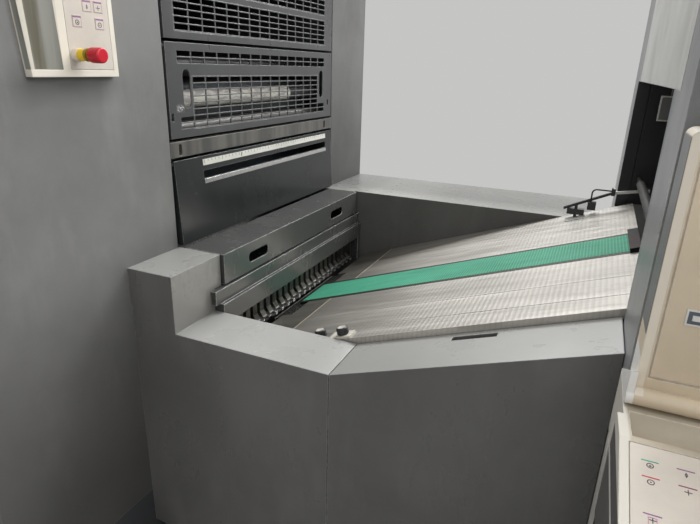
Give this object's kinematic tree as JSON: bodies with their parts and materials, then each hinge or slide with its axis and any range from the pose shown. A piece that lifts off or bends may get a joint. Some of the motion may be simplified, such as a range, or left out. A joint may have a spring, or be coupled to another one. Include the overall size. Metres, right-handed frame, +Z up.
{
  "type": "sheetfed offset press infeed section",
  "caption": "Infeed section of a sheetfed offset printing press: feeder, inclined feed board with suction belt, and a printing unit with slotted guards.",
  "frame": {"origin": "on the floor, on the press centre line, below the printing unit's feeder-side face", "axes": "+X along the press towards the feeder, +Y towards the drive side, +Z up"},
  "size_m": [3.857, 2.23, 2.1],
  "materials": {
    "housing_paint": "satin graphite grey paint",
    "guard_paint": "satin dark grey paint",
    "cast_frame": "painted cast iron",
    "white_scale": "white scale strip",
    "bright_steel": "ground steel",
    "blanket_rubber": "rubber blanket",
    "roller_rubber": "pale roller covering",
    "ink_rubber": "dark roller covering",
    "cream_plastic": "cream paint",
    "key_foil": "pale membrane keypad",
    "yellow_plastic": "yellow plastic",
    "red_plastic": "red plastic",
    "board_steel": "ribbed steel sheet",
    "belt_green": "green belt",
    "grey_metal": "grey metal",
    "black_plastic": "black plastic",
    "cable_rubber": "black cable",
    "feeder_paint": "light grey paint",
    "cabinet_paint": "dark grey paint",
    "pile_wood": "plywood"
  },
  "bodies": {
    "press": {"unit_bed": "cast_frame", "os_side_frame": "cast_frame", "ds_side_frame": "cast_frame", "os_housing": "housing_paint", "ds_housing": "housing_paint", "unit_top_cover": "housing_paint", "unit_rear_cover": "housing_paint", "guard_cross_rail": "guard_paint", "lay_beam": "housing_paint", "front_lays": "board_steel", "lay_stops": "bright_steel", "lay_shaft": "bright_steel", "control_box": "cream_plastic", "control_keypad": "key_foil", "e_stop_base": "yellow_plastic", "board_frame": "cast_frame", "feed_board": "board_steel", "board_front_plate": "board_steel", "suction_strip": "black_plastic", "suction_belt": "belt_green", "belt_rails": "grey_metal", "belt_head": "black_plastic", "side_lay": "black_plastic", "infeed_cover_os": "housing_paint", "slope_cover_os": "housing_paint", "infeed_cover_ds": "housing_paint", "sheet_sensor": "black_plastic", "sensor_cable": "cable_rubber", "feeder_base": "cast_frame", "feeder_os_frame": "feeder_paint", "feeder_ds_frame": "feeder_paint", "feeder_cross_cover": "feeder_paint", "feeder_liners": "black_plastic", "pull_roller": "bright_steel", "suction_head": "grey_metal", "pile_board": "pile_wood", "pile_chains": "grey_metal", "feeder_side_panel": "cream_plastic", "feeder_cabinet": "cabinet_paint", "feeder_console": "cream_plastic", "feeder_keypad": "key_foil"},
    "upper_guard": {"upper_guard": "guard_paint", "upper_guard_grilles": "guard_paint"},
    "plate_guard": {"plate_guard": "guard_paint", "plate_guard_grille": "guard_paint"},
    "blanket_guard": {"blanket_guard": "housing_paint", "scale_strip": "white_scale", "window_bar": "bright_steel"},
    "front_lay_guard": {"front_lay_guard": "housing_paint"},
    "plate_cylinder": {"plate_cylinder": "bright_steel"},
    "blanket_cylinder": {"blanket_cylinder": "blanket_rubber"},
    "impression_cylinder": {"impression_cylinder": "bright_steel"},
    "damping_roller": {"damping_roller": "roller_rubber"},
    "metering_roller": {"metering_roller": "bright_steel"},
    "ink_form_roller": {"ink_form_roller": "ink_rubber"},
    "e_stop_button": {"e_stop_button": "red_plastic"},
    "side_lay_knob_a": {"side_lay_knob_a": "black_plastic"},
    "side_lay_knob_b": {"side_lay_knob_b": "black_plastic"}
  },
  "joints": [
    {"name": "upper_guard_hinge", "type": "hinge", "parent": "press", "child": "upper_guard", "pos_m": [-0.01, 0, 1.98], "axis": [0, -1, 0], "range_deg": [0, 90]},
    {"name": "plate_guard_hinge", "type": "hinge", "parent": "press", "child": "plate_guard", "pos_m": [-0.01, 0, 1.634], "axis": [0, -1, 0], "range_deg": [0, 90]},
    {"name": "blanket_guard_hinge", "type": "hinge", "parent": "press", "child": "blanket_guard", "pos_m": [-0.01, 0, 1.286], "axis": [0, -1, 0], "range_deg": [0, 90]},
    {"name": "front_lay_guard_hinge", "type": "hinge", "parent": "press", "child": "front_lay_guard", "pos_m": [0.036, 0, 1.01], "axis": [0, -1, 0], "range_deg": [0, 70]},
    {"name": "impression_spin", "type": "hinge", "parent": "press", "child": "impression_cylinder", "pos_m": [-0.47255, 0, 0.78063], "axis": [0, 1, 0], "continuous": true},
    {"name": "blanket_spin", "type": "hinge", "parent": "press", "child": "blanket_cylinder", "pos_m": [-0.29238, 0, 1.15003], "axis": [0, 1, 0], "continuous": true},
    {"name": "plate_spin", "type": "hinge", "parent": "press", "child": "plate_cylinder", "pos_m": [-0.235, 0, 1.42], "axis": [0, 1, 0], "continuous": true},
    {"name": "damping_spin", "type": "hinge", "parent": "press", "child": "damping_roller", "pos_m": [-0.07521, 0, 1.47502], "axis": [0, 1, 0], "continuous": true},
    {"name": "metering_spin", "type": "hinge", "parent": "press", "child": "metering_roller", "pos_m": [-0.07618, 0, 1.38333], "axis": [0, 1, 0], "continuous": true},
    {"name": "form_spin", "type": "hinge", "parent": "press", "child": "ink_form_roller", "pos_m": [-0.15284, 0, 1.57452], "axis": [0, 1, 0], "continuous": true},
    {"name": "e_stop_push", "type": "slide", "parent": "press", "child": "e_stop_button", "axis": [-1, 0, 0], "range_m": [0, 0.005], "stiffness_N_per_m": 800},
    {"name": "side_lay_knob_a_turn", "type": "hinge", "parent": "press", "child": "side_lay_knob_a", "pos_m": [0.52526, -0.535, 0.82644], "axis": [-0.3304, 0, 0.9439], "continuous": true},
    {"name": "side_lay_knob_b_turn", "type": "hinge", "parent": "press", "child": "side_lay_knob_b", "pos_m": [0.59671, -0.535, 0.85144], "axis": [-0.3304, 0, 0.9439], "continuous": true}
  ],
  "couplings": [
    {"joint": "blanket_spin", "follows": "impression_spin", "ratio": -2},
    {"joint": "plate_spin", "follows": "impression_spin", "ratio": 2},
    {"joint": "damping_spin", "follows": "impression_spin", "ratio": -9.6429},
    {"joint": "metering_spin", "follows": "impression_spin", "ratio": -12.273},
    {"joint": "form_spin", "follows": "impression_spin", "ratio": -7.9412}
  ]
}
